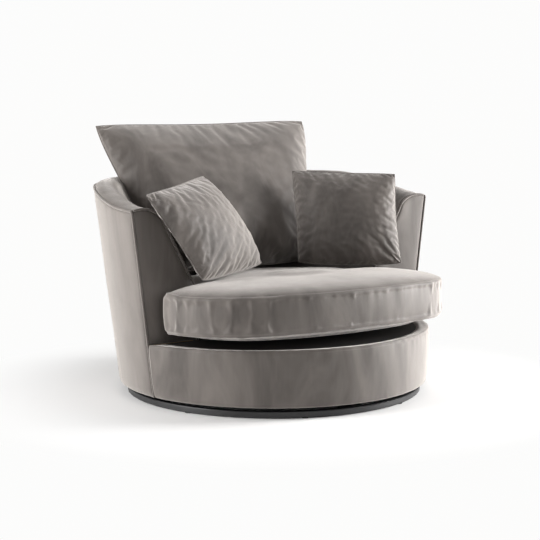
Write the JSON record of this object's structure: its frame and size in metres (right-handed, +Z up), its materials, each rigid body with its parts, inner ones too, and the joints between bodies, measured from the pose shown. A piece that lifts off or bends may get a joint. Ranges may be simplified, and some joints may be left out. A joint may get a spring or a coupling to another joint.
{
  "type": "cuddle chair",
  "caption": "Round swivel tub armchair in grey velvet with piped arms, a loose rounded seat cushion, a large back cushion and scatter cushions on a black steel ring base.",
  "frame": {"origin": "on the floor, under the swivel axis", "axes": "+Z up along the swivel axis, the sitter faces -Y, +X to the sitter's left"},
  "size_m": [1.2088, 1.1318, 0.8849],
  "materials": {
    "velvet": "short pile velvet",
    "platform_cloth": "woven lining",
    "dust_cloth": "bonded cloth",
    "webbing": "elastic webbing",
    "felt": "needle felt",
    "wadding": "polyester wadding",
    "foam": "upholstery foam",
    "fibre_filling": "hollow fibre",
    "zip_tape": "nylon zip",
    "plywood": "birch plywood",
    "softwood": "sawn softwood",
    "hardboard": "hardboard",
    "black_steel": "satin black powder coat",
    "zinc_steel": "zinc plated",
    "bearing_steel": "polished",
    "spring_steel": "oiled spring wire",
    "bush_brass": "plain brass",
    "glide_plastic": "moulded",
    "cage_plastic": "moulded nylon"
  },
  "bodies": {
    "base": {"base_ring": "black_steel", "base_glides": "glide_plastic", "base_arms": "black_steel", "base_hub": "black_steel", "swivel_lower_plate": "black_steel", "lower_plate_screws": "zinc_steel", "bearing_balls": "bearing_steel", "ball_cage": "cage_plastic", "pivot_bolt": "zinc_steel", "pivot_bush": "bush_brass", "pivot_washer": "zinc_steel", "pivot_nut": "zinc_steel"},
    "tub": {"swivel_upper_plate": "black_steel", "upper_plate_screws": "zinc_steel", "bottom_board": "plywood", "frame_blocks": "softwood", "seat_rail": "plywood", "frame_ribs": "plywood", "top_rail": "plywood", "arm_front_board_right": "plywood", "arm_front_board_left": "plywood", "plinth_panel": "hardboard", "seat_springs": "spring_steel", "spring_clips": "zinc_steel", "elastic_webbing": "webbing", "outer_hardboard": "hardboard", "platform_felt": "felt", "platform_cloth": "platform_cloth", "inner_foam": "foam", "outer_wadding": "wadding", "outer_cover": "velvet", "inner_cover": "velvet", "arm_front_pad_right": "foam", "arm_front_pad_left": "foam", "arm_front_cover_right": "velvet", "arm_front_cover_left": "velvet", "drum_front_pad": "foam", "drum_front_cover": "velvet", "outer_piping": "velvet", "arm_piping_right": "velvet", "arm_piping_left": "velvet", "dust_cover": "dust_cloth", "dust_cover_staples": "zinc_steel"},
    "seat_cushion": {"seat_cushion_cover": "velvet", "seat_cushion_foam": "foam", "seat_cushion_zip": "zip_tape"},
    "back_cushion": {"back_cushion_cover": "velvet", "back_cushion_filling": "fibre_filling", "back_cushion_zip": "zip_tape"},
    "scatter_right": {"scatter_right_cover": "velvet", "scatter_right_filling": "fibre_filling", "scatter_right_zip": "zip_tape"},
    "scatter_left": {"scatter_left_cover": "velvet", "scatter_left_filling": "fibre_filling", "scatter_left_zip": "zip_tape"}
  },
  "joints": [
    {"name": "swivel", "type": "hinge", "parent": "base", "child": "tub", "pos_m": [0, 0, 0], "axis": [0, 0, 1], "continuous": true},
    {"name": "seat_cushion_lift", "type": "slide", "parent": "tub", "child": "seat_cushion", "axis": [0, 0, 1], "range_m": [0, 0.3]},
    {"name": "back_cushion_lift", "type": "slide", "parent": "seat_cushion", "child": "back_cushion", "axis": [0, 0, 1], "range_m": [0, 0.3]},
    {"name": "scatter_right_lift", "type": "slide", "parent": "back_cushion", "child": "scatter_right", "axis": [0, 0, 1], "range_m": [0, 0.3]},
    {"name": "scatter_left_lift", "type": "slide", "parent": "back_cushion", "child": "scatter_left", "axis": [0, 0, 1], "range_m": [0, 0.3]}
  ]
}
